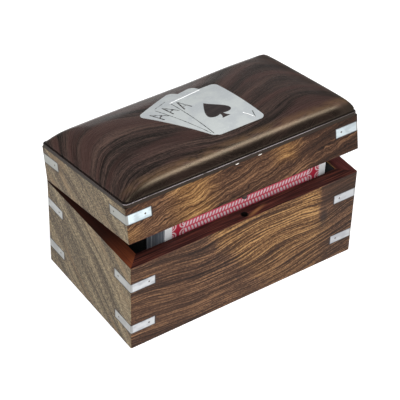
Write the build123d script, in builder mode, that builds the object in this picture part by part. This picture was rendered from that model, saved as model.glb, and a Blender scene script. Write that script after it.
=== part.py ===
"""Hinged playing-card box, two decks deep, drawn with its lid standing ajar.

Millimetres. The origin is the middle of the underside, +X runs along the
front towards the right end, +Y runs towards the hinges and +Z is up. The lid
is drawn shut and then turned about its hinge pins by lid_open_angle.
"""

from build123d import *
from math import cos, radians, sin, sqrt
import os

os.makedirs("parts", exist_ok=True)

# ---- case ----
box_length = 124.0
box_width = 71.5
base_height = 48.5
board = 7.0
corner_round = 0.5
edge_ease = 0.4
rim_gap = 0.15
lid_open_angle = 10.0

# ---- bottom panel and divider ----
bottom_thickness = 2.9
bottom_rebate = 3.0
divider_thickness = 5.0
divider_groove = 1.5
divider_below_rim = 4.5

# ---- felt lining ----
felt = 0.5
felt_below_rim = 1.0

# ---- domed top: a panel glued on the lid frame, its edge flush with the frame ----
panel_edge = 1.8
panel_ease = 0.3
dome_inset = 0.9
dome_edge_height = 0.8
dome_roll = 8.0
dome_edge_slope = 75.0
crown_slope_across = 8.0
crown_slope_along = 5.5

# ---- metal inlay on the dome: a fan of cards ----
inlay_card_width = 26.6
inlay_card_height = 40.6
inlay_card_round = 2.8
inlay_fan_step = 13.0
inlay_fan_count = 3
inlay_from_left = 55.8
inlay_from_front = 12.3
inlay_thickness = 0.7
inlay_proud = 0.1
spade_height = 16.4
spade_width = 12.7
spade_stem_width = 4.8
spade_tilt = 5.0
spade_from_card_side = 13.1
spade_from_card_foot = 10.3

# ---- corner straps ----
strap_thickness = 0.9
strap_height = 4.8
strap_leg_front = 12.6
strap_leg_side = 13.4
strap_from_rim = 11.9
lid_strap_from_top = 7.5
strap_pin_radius = 0.45
strap_pin_length = 5.0
strap_pin_from_end = 3.1

# ---- hinges ----
hinge_width = 16.0
hinge_from_end = 26.0
hinge_offset = 1.3
knuckle_radius = 1.7
middle_knuckle = 6.0
knuckle_clearance = 0.15
hinge_pin_radius = 0.8
hinge_pin_clearance = 0.05
leaf_thickness = 0.9
leaf_depth = 5.0
stop_angle = 100.0
stop_reach = 4.2
stop_thickness = 0.8
screw_shank_radius = 0.6
screw_head_radius = 1.2
screw_length = 6.0
screw_spacing = 9.0
screw_from_back = 2.9
screw_slot_width = 0.3
screw_slot_depth = 0.3

# ---- locating peg in the front edge ----
peg_radius = 1.3
peg_clearance = 0.2
peg_below_rim = 3.2
peg_in_lid = 4.0
peg_tip_round = 0.5
peg_from_front = 3.2
peg_hole_depth = 5.0

# ---- deck of cards, standing on its long edge ----
card_length = 88.9
card_width = 63.5
card_round = 3.2
deck_thickness = 15.0
deck_from_right = 10.7
deck_headroom = 0.75
deck_sweep_clearance = 0.45

# ---- levels and faces worked out from the sizes above ----
half_length = box_length / 2
half_width = box_width / 2
inner_length = box_length - 2 * board
inner_width = box_width - 2 * board
bottom_top = bottom_thickness
floor_level = bottom_top + felt
lid_rim = base_height + rim_gap
deck_top = floor_level + card_width
lid_seat = deck_top + deck_headroom + felt
lid_frame_top = lid_seat - panel_edge
lid_frame_height = lid_frame_top - lid_rim
divider_top = base_height - divider_below_rim
hinge_y = half_width + hinge_offset
hinge_z = base_height + rim_gap / 2
hinge_centres = [half_length - hinge_from_end, hinge_from_end - half_length]
lid_hinge_axis = Axis((0, hinge_y, hinge_z), (-1, 0, 0))
sides = ["front", "back", "left", "right"]

# the spade's right half, from its foot up to its tip
half_spade = spade_width / 2
spade_stem_hollow = (0.2 * half_spade, 0.09 * spade_height)
spade_waist = (0.14 * half_spade, 0.21 * spade_height)
spade_lobe_bottom = (0.62 * half_spade, 0.16 * spade_height)
spade_lobe_side = (half_spade, 0.34 * spade_height)
spade_shoulder = (0.48 * half_spade, 0.7 * spade_height)
spade_tip_heading = (-0.28, 1)


def keep(piece, name):
    """Label a piece of the base and write it."""
    piece.part.label = name
    export_step(piece.part, f"parts/{name}.step")


def keep_on_lid(piece, name):
    """Turn a piece of the lid from shut to ajar, label it and write it."""
    opened = piece.part.rotate(lid_hinge_axis, lid_open_angle)
    opened.label = name
    export_step(opened, f"parts/{name}.step")


def corner_point(x_sign, y_sign, inwards):
    """A corner of the case in plan, moved in along the mitre."""
    return (x_sign * (half_length - inwards), y_sign * (half_width - inwards))


def board_ends(side):
    """The signs of the two corners that a side of the case runs between."""
    if side in ("front", "back"):
        y_sign = -1 if side == "front" else 1
        return (-1, y_sign), (1, y_sign)
    x_sign = -1 if side == "left" else 1
    return (x_sign, -1), (x_sign, 1)


# ---- corner straps: thin angles let in flush round each corner ----


def corner_strap(x_sign, y_sign, middle_height):
    with BuildPart() as strap:
        with BuildSketch(Plane.XY.offset(middle_height - strap_height / 2)):
            RectangleRounded(box_length, box_width, corner_round)
            Rectangle(
                box_length - 2 * strap_thickness,
                box_width - 2 * strap_thickness,
                mode=Mode.SUBTRACT,
            )
            with Locations((x_sign * half_length, y_sign * half_width)):
                Rectangle(2 * strap_leg_front, 2 * strap_leg_side, mode=Mode.INTERSECT)
        extrude(amount=strap_height)
    return strap


def strap_pins(middle_height, height_apart, rows):
    """The nails of every strap at one or two heights, one near each leg's end."""
    pin_x = half_length - strap_leg_front + strap_pin_from_end
    pin_y = half_width - strap_leg_side + strap_pin_from_end
    with BuildPart() as pins:
        for face, inwards in ((half_width, -1), (-half_width, 1)):
            with BuildSketch(Plane.XZ.offset(face)):
                with Locations((0, middle_height)):
                    with GridLocations(2 * pin_x, height_apart, 2, rows):
                        Circle(strap_pin_radius)
            extrude(amount=inwards * strap_pin_length)
        for face, inwards in ((half_length, -1), (-half_length, 1)):
            with BuildSketch(Plane.YZ.offset(face)):
                with Locations((0, middle_height)):
                    with GridLocations(2 * pin_y, height_apart, 2, rows):
                        Circle(strap_pin_radius)
            extrude(amount=inwards * strap_pin_length)
    return pins


base_strap_heights = {"lower": strap_from_rim, "upper": base_height - strap_from_rim}
lid_strap_height = lid_seat - lid_strap_from_top
corners = {
    "front_left": (-1, -1),
    "front_right": (1, -1),
    "back_left": (-1, 1),
    "back_right": (1, 1),
}
base_pins = strap_pins(base_height / 2, base_height - 2 * strap_from_rim, 2)
lid_pins = strap_pins(lid_strap_height, strap_height, 1)
keep(base_pins, "base_strap_pins")
keep_on_lid(lid_pins, "lid_strap_pins")

base_straps = []
lid_straps = []
for corner, (x_sign, y_sign) in corners.items():
    for level, height in base_strap_heights.items():
        base_strap = corner_strap(x_sign, y_sign, height)
        base_straps.append(base_strap.part)
        with base_strap:
            add(base_pins.part, mode=Mode.SUBTRACT)
        keep(base_strap, f"base_strap_{corner}_{level}")
    lid_strap = corner_strap(x_sign, y_sign, lid_strap_height)
    lid_straps.append(lid_strap.part)
    with lid_strap:
        add(lid_pins.part, mode=Mode.SUBTRACT)
    keep_on_lid(lid_strap, f"lid_strap_{corner}")


# ---- hinges: brass, let into the meeting edges, with stop tails behind ----


def hinge_leaf(centre, on_lid):
    """One leaf with its knuckles, and the tail that stops the lid."""
    plate_level = lid_rim if on_lid else base_height - leaf_thickness
    tail_turn = stop_angle / 2 if on_lid else -stop_angle / 2
    tail_side = Align.MIN if on_lid else Align.MAX
    bore = hinge_pin_radius + (hinge_pin_clearance if on_lid else 0)
    outer_knuckle = (hinge_width - middle_knuckle) / 2
    with BuildPart() as leaf:
        with BuildSketch(Plane.XY.offset(plate_level)):
            with Locations((centre, hinge_y)):
                Rectangle(
                    hinge_width,
                    leaf_depth + hinge_offset,
                    align=(Align.CENTER, Align.MAX),
                )
        extrude(amount=leaf_thickness)
        with BuildSketch(Plane.YZ.offset(centre - hinge_width / 2)):
            with Locations((hinge_y, hinge_z)):
                Circle(knuckle_radius)
                Rectangle(
                    stop_reach,
                    stop_thickness,
                    rotation=tail_turn,
                    align=(Align.MIN, tail_side),
                )
        extrude(amount=hinge_width)
        # room for the knuckles of the other leaf
        if on_lid:
            room_length = outer_knuckle + knuckle_clearance
            room_starts = [
                centre - hinge_width / 2,
                centre + hinge_width / 2 - room_length,
            ]
        else:
            room_length = middle_knuckle
            room_starts = [centre - middle_knuckle / 2]
        for room_start in room_starts:
            with BuildSketch(Plane.YZ.offset(room_start)):
                with Locations((hinge_y, hinge_z)):
                    Circle(knuckle_radius + knuckle_clearance)
            extrude(amount=room_length, mode=Mode.SUBTRACT)
        with BuildSketch(Plane.YZ.offset(centre - hinge_width / 2)):
            with Locations((hinge_y, hinge_z)):
                Circle(bore)
        extrude(amount=hinge_width, mode=Mode.SUBTRACT)
    return leaf


def screw_heads(level):
    """Where the heads of one side's screws lie, two to a leaf."""
    return [
        (centre + offset, half_width - screw_from_back, level)
        for centre in hinge_centres
        for offset in (-screw_spacing / 2, screw_spacing / 2)
    ]


def hinge_screws(level, upright):
    """Countersunk screws, their heads at that level; upright ones have them on top."""
    end = (Align.CENTER, Align.CENTER, Align.MAX if upright else Align.MIN)
    cone_ends = [screw_shank_radius, screw_head_radius]
    if not upright:
        cone_ends.reverse()
    with BuildPart() as screws:
        with Locations(*screw_heads(level)):
            Cylinder(screw_shank_radius, screw_length, align=end)
            Cone(*cone_ends, leaf_thickness, align=end)
    return screws


def cut_slots(screws, level, upright):
    """Cut a driver slot across each head."""
    end = (Align.CENTER, Align.CENTER, Align.MAX if upright else Align.MIN)
    with screws:
        with Locations(*screw_heads(level)):
            Box(
                2 * screw_head_radius,
                screw_slot_width,
                screw_slot_depth,
                align=end,
                mode=Mode.SUBTRACT,
            )


base_screws = hinge_screws(base_height, True)
lid_screws = hinge_screws(lid_rim, False)
base_leaves = [hinge_leaf(centre, False) for centre in hinge_centres]
lid_leaves = [hinge_leaf(centre, True) for centre in hinge_centres]
base_back_cuts = [leaf.part for leaf in base_leaves] + [base_screws.part]
lid_back_cuts = [leaf.part for leaf in lid_leaves] + [lid_screws.part]

for hand, centre, base_leaf, lid_leaf in zip(
    ("right", "left"), hinge_centres, base_leaves, lid_leaves
):
    with base_leaf:
        add(base_screws.part, mode=Mode.SUBTRACT)
    with lid_leaf:
        add(lid_screws.part, mode=Mode.SUBTRACT)
    keep(base_leaf, f"{hand}_hinge_base_leaf")
    keep_on_lid(lid_leaf, f"{hand}_hinge_lid_leaf")

    with BuildPart() as hinge_pin:
        with BuildSketch(Plane.YZ.offset(centre - hinge_width / 2)):
            with Locations((hinge_y, hinge_z)):
                Circle(hinge_pin_radius)
        extrude(amount=hinge_width)
    keep(hinge_pin, f"{hand}_hinge_pin")

cut_slots(base_screws, base_height, True)
cut_slots(lid_screws, lid_rim, False)
keep(base_screws, "base_hinge_screws")
keep_on_lid(lid_screws, "lid_hinge_screws")

# room that the hinge barrels need in the two back boards
with BuildPart() as barrel_room:
    for centre in hinge_centres:
        with BuildSketch(Plane.YZ.offset(centre - hinge_width / 2 - knuckle_clearance)):
            with Locations((hinge_y, hinge_z)):
                Circle(knuckle_radius + knuckle_clearance)
        extrude(amount=hinge_width + 2 * knuckle_clearance)
base_back_cuts.append(barrel_room.part)
lid_back_cuts.append(barrel_room.part)


# ---- boards of the base: mitred at the corners ----

with BuildPart() as base_block:
    with BuildSketch(Plane.XY):
        RectangleRounded(box_length, box_width, corner_round)
    extrude(amount=base_height)
    chamfer(base_block.faces().sort_by(Axis.Z)[0].edges(), edge_ease)

with BuildPart() as bottom_rebate_room:
    with BuildSketch(Plane.XY):
        Rectangle(inner_length + 2 * bottom_rebate, inner_width + 2 * bottom_rebate)
    extrude(amount=bottom_top)

with BuildPart() as base_bottom:
    with BuildSketch(Plane.XY):
        Rectangle(inner_length + 2 * bottom_rebate, inner_width + 2 * bottom_rebate)
    extrude(amount=bottom_thickness)
keep(base_bottom, "base_bottom")

with BuildPart() as divider:
    with BuildSketch(Plane.XY.offset(bottom_top)):
        Rectangle(inner_length + 2 * divider_groove, divider_thickness)
    extrude(amount=divider_top - bottom_top)
keep(divider, "divider")

with BuildPart() as peg_hole:
    with BuildSketch(Plane.XY.offset(base_height)):
        with Locations((0, peg_from_front - half_width)):
            Circle(peg_radius + peg_clearance)
    extrude(amount=-peg_hole_depth)

with BuildPart() as locating_peg:
    with BuildSketch(Plane.XY.offset(lid_rim - peg_below_rim)):
        with Locations((0, peg_from_front - half_width)):
            Circle(peg_radius)
    extrude(amount=peg_below_rim + peg_in_lid)
    fillet(locating_peg.faces().sort_by(Axis.Z)[0].edges(), peg_tip_round)
keep_on_lid(locating_peg, "locating_peg")


def mitred_board(side, block, cuts):
    """One side of the base or lid frame, cut from its block between two mitres."""
    first, second = board_ends(side)
    with BuildPart() as piece:
        add(block)
        with BuildSketch(Plane.XY):
            with BuildLine():
                Polyline(
                    corner_point(*first, 0),
                    corner_point(*second, 0),
                    corner_point(*second, board),
                    corner_point(*first, board),
                    close=True,
                )
            make_face()
        extrude(amount=lid_seat, mode=Mode.INTERSECT)
        for cut in cuts:
            add(cut, mode=Mode.SUBTRACT)
    return piece


base_cuts = base_straps + [base_pins.part, bottom_rebate_room.part]
base_side_cuts = {
    "front": [peg_hole.part],
    "back": base_back_cuts,
    "left": [divider.part],
    "right": [divider.part],
}
for side in sides:
    base_board = mitred_board(side, base_block.part, base_cuts + base_side_cuts[side])
    keep(base_board, f"base_{side}_board")


# ---- boards of the lid frame ----

with BuildPart() as lid_block:
    with BuildSketch(Plane.XY.offset(lid_rim)):
        RectangleRounded(box_length, box_width, corner_round)
    extrude(amount=lid_frame_height)

lid_cuts = lid_straps + [lid_pins.part]
lid_side_cuts = {
    "front": [locating_peg.part],
    "back": lid_back_cuts,
    "left": [],
    "right": [],
}
for side in sides:
    lid_board = mitred_board(side, lid_block.part, lid_cuts + lid_side_cuts[side])
    keep_on_lid(lid_board, f"lid_{side}_board")


# ---- felt lining ----


def lining_sheet(low, high):
    """A flat sheet of felt between two corners, low and high."""
    with BuildPart() as sheet:
        with BuildSketch(Plane.XY.offset(low[2])):
            with Locations((low[0], low[1])):
                Rectangle(high[0] - low[0], high[1] - low[1], align=(Align.MIN, Align.MIN))
        extrude(amount=high[2] - low[2])
    return sheet


def wall_lining(y_sign, low_level, high_level):
    """The felt of the front or back wall."""
    outer = y_sign * inner_width / 2
    inner = y_sign * (inner_width / 2 - felt)
    low = (-inner_length / 2, min(outer, inner), low_level)
    high = (inner_length / 2, max(outer, inner), high_level)
    return lining_sheet(low, high)


def end_lining(x_sign, low_level, high_level, spans):
    """The felt of an end wall, in the lengths that the divider leaves."""
    outer = x_sign * inner_length / 2
    inner = x_sign * (inner_length / 2 - felt)
    with BuildPart() as lining:
        for start, stop in spans:
            with BuildSketch(Plane.XY.offset(low_level)):
                with Locations((min(outer, inner), start)):
                    Rectangle(felt, stop - start, align=(Align.MIN, Align.MIN))
            extrude(amount=high_level - low_level)
    return lining


base_felt_top = base_height - felt_below_rim
wall_face = inner_width / 2 - felt
divider_face = divider_thickness / 2 + felt
compartment_spans = [(-wall_face, -divider_face), (divider_face, wall_face)]

with BuildPart() as floor_lining:
    with BuildSketch(Plane.XY.offset(bottom_top)):
        Rectangle(inner_length, inner_width)
        Rectangle(inner_length, divider_thickness, mode=Mode.SUBTRACT)
    extrude(amount=felt)
keep(floor_lining, "base_lining_floor")
keep(wall_lining(-1, floor_level, base_felt_top), "base_lining_front")
keep(wall_lining(1, floor_level, base_felt_top), "base_lining_back")
keep(end_lining(-1, floor_level, base_felt_top, compartment_spans), "base_lining_left")
keep(end_lining(1, floor_level, base_felt_top, compartment_spans), "base_lining_right")

with BuildPart() as divider_lining:
    with BuildSketch(Plane.YZ.offset(-inner_length / 2)):
        with Locations((0, floor_level)):
            Rectangle(
                divider_thickness + 2 * felt,
                divider_top + felt - floor_level,
                align=(Align.CENTER, Align.MIN),
            )
            Rectangle(
                divider_thickness,
                divider_top - floor_level,
                align=(Align.CENTER, Align.MIN),
                mode=Mode.SUBTRACT,
            )
    extrude(amount=inner_length)
keep(divider_lining, "divider_lining")

lid_felt_bottom = lid_rim + felt_below_rim
lid_felt_top = lid_seat - felt
with BuildPart() as lid_ceiling_lining:
    with BuildSketch(Plane.XY.offset(lid_felt_top)):
        Rectangle(inner_length, inner_width)
    extrude(amount=felt)
keep_on_lid(lid_ceiling_lining, "lid_lining_ceiling")
keep_on_lid(wall_lining(-1, lid_felt_bottom, lid_felt_top), "lid_lining_front")
keep_on_lid(wall_lining(1, lid_felt_bottom, lid_felt_top), "lid_lining_back")
lid_span = [(-wall_face, wall_face)]
keep_on_lid(end_lining(-1, lid_felt_bottom, lid_felt_top, lid_span), "lid_lining_left")
keep_on_lid(end_lining(1, lid_felt_bottom, lid_felt_top, lid_span), "lid_lining_right")


# ---- pillow of the domed top: one section across and one along ----


def dome_section(section_plane, half_span, crown_slope):
    """A low arch that stands on the plane's origin: steep rolls and a long crown."""
    roll_turn = dome_edge_slope - crown_slope
    roll_reach = dome_roll * (sin(radians(dome_edge_slope)) - sin(radians(crown_slope)))
    crown_radius = (half_span - roll_reach) / sin(radians(crown_slope))
    edge_heading = (-cos(radians(dome_edge_slope)), sin(radians(dome_edge_slope)))
    with BuildSketch(section_plane) as section:
        with BuildLine():
            foot = Line((-half_span, 0), (half_span, 0))
            edge = Line(foot @ 1, (half_span, dome_edge_height))
            roll = JernArc(edge @ 1, edge_heading, dome_roll, roll_turn)
            crown = JernArc(roll @ 1, roll % 1, crown_radius, 2 * crown_slope)
            far_roll = JernArc(crown @ 1, crown % 1, dome_roll, roll_turn)
            Line(far_roll @ 1, foot @ 0)
        make_face()
    return section.sketch


def dome(lift):
    """The solid pillow, raised by lift from its seat on the lid frame."""
    seat = (0, 0, lid_seat + lift)
    across_plane = Plane(origin=seat, x_dir=(0, 1, 0), z_dir=(1, 0, 0))
    along_plane = Plane(origin=seat, x_dir=(1, 0, 0), z_dir=(0, -1, 0))
    across = dome_section(across_plane, half_width - dome_inset, crown_slope_across)
    along = dome_section(along_plane, half_length - dome_inset, crown_slope_along)
    with BuildPart() as pillow:
        extrude(across, amount=half_length, both=True)
        extrude(along, amount=half_width, both=True, mode=Mode.INTERSECT)
    return pillow.part


finished_dome = dome(0)
inlay_face = dome(inlay_proud)
inlay_bed = dome(inlay_proud - inlay_thickness)


# ---- inlay: a fan of metal cards with a spade let into the front one ----

inlay_x = inlay_from_left - half_length
inlay_y = inlay_from_front - half_width
inlay_reach = lid_frame_height
spade_foot = (inlay_x + spade_from_card_side, inlay_y + spade_from_card_foot, lid_seat)

with BuildSketch(Plane(spade_foot).rotated((0, 0, spade_tilt))) as spade_face:
    with BuildLine():
        foot = Line((0, 0), (spade_stem_width / 2, 0))
        stem = ThreePointArc(foot @ 1, spade_stem_hollow, spade_waist)
        lobe = ThreePointArc(stem @ 1, spade_lobe_bottom, spade_lobe_side)
        Spline(
            lobe @ 1,
            spade_shoulder,
            (0, spade_height),
            tangents=[(0, 1), spade_tip_heading],
        )
        mirror(about=Plane.YZ)
    make_face()

with BuildPart() as spade_prism:
    extrude(spade_face.sketch, amount=inlay_reach)

with BuildPart() as inlay_cards:
    for card in range(inlay_fan_count):
        fan_plane = Plane((inlay_x, inlay_y, lid_seat)).rotated((0, 0, card * inlay_fan_step))
        with BuildSketch(fan_plane):
            with Locations((inlay_card_width / 2, inlay_card_height / 2)):
                RectangleRounded(inlay_card_width, inlay_card_height, inlay_card_round)
        extrude(amount=inlay_reach)
    add(inlay_face, mode=Mode.INTERSECT)
    add(inlay_bed, mode=Mode.SUBTRACT)
    add(spade_prism.part, mode=Mode.SUBTRACT)

with BuildPart() as inlay_spade:
    add(spade_prism.part)
    add(finished_dome, mode=Mode.INTERSECT)
    add(inlay_bed, mode=Mode.SUBTRACT)

with BuildPart() as panel:
    with BuildSketch(Plane.XY.offset(lid_frame_top)):
        RectangleRounded(box_length, box_width, corner_round)
    extrude(amount=panel_edge)
    chamfer(panel.faces().sort_by(Axis.Z)[-1].edges(), panel_ease)
    with BuildSketch(Plane.XY.offset(lid_frame_top)):
        Rectangle(inner_length, inner_width)
    extrude(amount=panel_edge, mode=Mode.SUBTRACT)

with BuildPart() as lid_top:
    add(panel.part)
    add(finished_dome)
    add(inlay_cards.part, mode=Mode.SUBTRACT)
    add(inlay_spade.part, mode=Mode.SUBTRACT)

keep_on_lid(inlay_cards, "inlay_cards")
keep_on_lid(inlay_spade, "inlay_spade")
keep_on_lid(lid_top, "lid_top")


# ---- deck of cards, standing where the lid's front wall swings past it ----

deck_middle = half_length - deck_from_right - card_length / 2
deck_reach = hinge_y + wall_face - deck_sweep_clearance
deck_rise = deck_top - hinge_z
deck_front = hinge_y - sqrt(deck_reach**2 - deck_rise**2)
with BuildPart() as card_deck:
    with BuildSketch(Plane.XZ.offset(-deck_front)):
        with Locations((deck_middle, floor_level + card_width / 2)):
            RectangleRounded(card_length, card_width, card_round)
    extrude(amount=-deck_thickness)
keep(card_deck, "card_deck")
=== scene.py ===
# %% [markdown]
# # A hinged box for two decks of cards
# This lesson dresses a CAD model of a small rosewood box: mitred boards, a
# pillow-shaped lid, corner straps of light metal, a metal inlay and a deck of
# cards. The CAD model is loaded as a fixed frame. Boards and hinges stay as they
# are and get finishes; the pieces that need finer shapes are modelled again.

import math
import random

import bmesh
import bpy
from bmesh.types import BMEdge, BMFace, BMVert
from mathutils import Matrix, Vector


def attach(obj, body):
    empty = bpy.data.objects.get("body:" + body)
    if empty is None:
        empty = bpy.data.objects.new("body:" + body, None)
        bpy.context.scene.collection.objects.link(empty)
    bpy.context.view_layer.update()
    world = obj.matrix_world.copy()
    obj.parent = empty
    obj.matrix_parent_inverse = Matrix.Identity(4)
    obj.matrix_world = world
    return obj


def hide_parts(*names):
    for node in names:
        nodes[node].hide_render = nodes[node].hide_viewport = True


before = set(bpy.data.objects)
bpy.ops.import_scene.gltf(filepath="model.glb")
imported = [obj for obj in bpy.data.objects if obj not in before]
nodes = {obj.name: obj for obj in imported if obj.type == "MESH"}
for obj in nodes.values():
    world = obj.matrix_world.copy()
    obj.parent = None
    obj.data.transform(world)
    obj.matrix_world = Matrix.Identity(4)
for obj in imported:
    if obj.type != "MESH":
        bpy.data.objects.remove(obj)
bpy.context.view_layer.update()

# %% [markdown]
# ## Sizes
# Everything below is worked out in millimetres, in the frame of the shut box,
# because that is how a maker measures it. One matrix then turns a lid piece to
# the angle at which the lid stands, and another brings millimetres to metres.

# %% Sizes of the box
HALF_LENGTH = 62.0
HALF_WIDTH = 35.75
BASE_HEIGHT = 48.5
BOARD = 7.0
LID_RIM = 48.65
PANEL_EDGE = 1.8
LID_SEAT = 68.15
HINGE_Y = 37.05
HINGE_Z = 48.575
AJAR = math.radians(10.0)

TO_METRES = Matrix.Scale(0.001, 4)
hinge = Matrix.Translation((0, HINGE_Y, HINGE_Z))
LIFT = hinge @ Matrix.Rotation(-AJAR, 4, "X") @ hinge.inverted()
print("the lid stands open by", round(math.degrees(AJAR), 1), "degrees")

# %% [markdown]
# ## Camera
# The camera stands in front and to the left, looking down, as the picture of the
# box was taken. It is written as three axes and a place, which were found by
# matching the corners of the box.

# %% Camera
CAMERA_PLACE = Vector((-0.326073, -0.458018, 0.502615))
CAMERA_RIGHT = Vector((0.826711, -0.562144, 0.023319))
CAMERA_UP = Vector((0.345352, 0.539736, 0.767734))
CAMERA_LENS = 141.64

camera_data = bpy.data.cameras.new("camera")
camera_data.lens = CAMERA_LENS
camera_data.sensor_width = 36.0
camera_data.clip_start = 0.01
camera = bpy.data.objects.new("camera", camera_data)
bpy.context.scene.collection.objects.link(camera)
axes = Matrix((CAMERA_RIGHT, CAMERA_UP, CAMERA_RIGHT.cross(CAMERA_UP))).transposed()
camera.matrix_world = Matrix.Translation(CAMERA_PLACE) @ axes.to_4x4()
bpy.context.scene.camera = camera
print("camera elevation", round(math.degrees(math.asin(axes.col[2].z)), 1))

# %% [markdown]
# ## Helpers for modelling
# Each new piece starts as a bmesh in millimetres. `finish_piece` turns it into an
# object that sits at the origin with its place in its mesh, rides on the base or
# the lid, and hides the CAD nodes it stands for.


# %% Turning a bmesh into a piece
def link_object(name, data):
    """Put an object for a mesh, a curve or a light into the scene."""
    item = bpy.data.objects.new(name, data)
    bpy.context.scene.collection.objects.link(item)
    return item


def finish_piece(name, bm, body, materials, replaced, smooth_angle=None):
    """Write the bmesh as an object that rides on a body and stands for CAD nodes."""
    bmesh.ops.transform(bm, matrix=LIFT if body == "lid" else Matrix(), verts=bm.verts)
    bmesh.ops.transform(bm, matrix=TO_METRES, verts=bm.verts)
    mesh = bpy.data.meshes.new(name)
    bm.to_mesh(mesh)
    bm.free()
    if smooth_angle is not None:
        mesh.shade_smooth()
        mesh.set_sharp_from_angle(angle=math.radians(smooth_angle))
    for material in materials:
        mesh.materials.append(material)
    piece = link_object(name, mesh)
    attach(piece, body)
    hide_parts(*replaced)
    print(name, len(mesh.polygons), "faces")


def pour(source, target):
    """Add one bmesh to another and free it."""
    mesh = bpy.data.meshes.new("part")
    source.to_mesh(mesh)
    source.free()
    target.from_mesh(mesh)
    bpy.data.meshes.remove(mesh)


def rounded_rectangle(bm, width, height, radius, segments):
    """A flat face with round corners, its lower left corner at the origin."""
    made = bmesh.ops.create_grid(bm, x_segments=1, y_segments=1, size=0.5)["verts"]
    place = Matrix.Diagonal((width, height, 1, 1)) @ Matrix.Translation((0.5, 0.5, 0))
    bmesh.ops.transform(bm, matrix=place, verts=made)
    bmesh.ops.bevel(
        bm,
        geom=made,
        offset=radius,
        segments=segments,
        profile=0.5,
        affect="VERTICES",
        material=-1,
    )


def only(kind, items):
    """The items of one kind."""
    return [item for item in items if isinstance(item, kind)]


def thicken(bm, depth):
    """Make a slab of a flat outline, whose top stays where the outline was."""
    made = bmesh.ops.extrude_face_region(bm, geom=bm.faces[:])["geom"]
    upper = set(only(BMVert, made))
    lower = [vert for vert in bm.verts if vert not in upper]
    bmesh.ops.translate(bm, vec=(0, 0, -depth), verts=lower)
    bmesh.ops.recalc_face_normals(bm, faces=bm.faces)


def dress(node, material):
    """Give a CAD node its finish."""
    nodes[node].data.materials.clear()
    nodes[node].data.materials.append(material)


# %% [markdown]
# ## Helpers for finishes
# A finish is a material made only of nodes. `Wire` wraps the output of a node, so
# that a sum of patterns reads as a sum. Every place in a pattern comes from
# Object coordinates, turned back to the shut box for pieces of the lid, so the
# grain follows the boards and not the room. Places are in millimetres, and the
# three numbers of a noise are its waves per millimetre along each axis.


# %% Shader maths
def operator(operation, reflected=False):
    """A method that adds one Math node; a reflected one takes its values backwards."""

    def method(self, *others):
        values = (*others, self) if reflected else (self, *others)
        return self.finish.add("ShaderNodeMath", values, operation=operation)

    return method


class Wire:
    """One output of a node, on which patterns are worked out."""

    def __init__(self, finish, socket):
        self.finish = finish
        self.socket = socket

    __add__ = __radd__ = operator("ADD")
    __sub__ = operator("SUBTRACT")
    __rsub__ = operator("SUBTRACT", reflected=True)
    __mul__ = __rmul__ = operator("MULTIPLY")
    __truediv__ = operator("DIVIDE")
    __rtruediv__ = operator("DIVIDE", reflected=True)
    size = operator("ABSOLUTE")
    power = operator("POWER")
    least = operator("MINIMUM")
    most = operator("MAXIMUM")
    cosine = operator("COSINE")
    # wrap starts again at 0 after a period, fold runs up to a length and back
    wrap = operator("MODULO")
    fold = operator("PINGPONG")

    def __neg__(self):
        return self * -1.0


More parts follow.
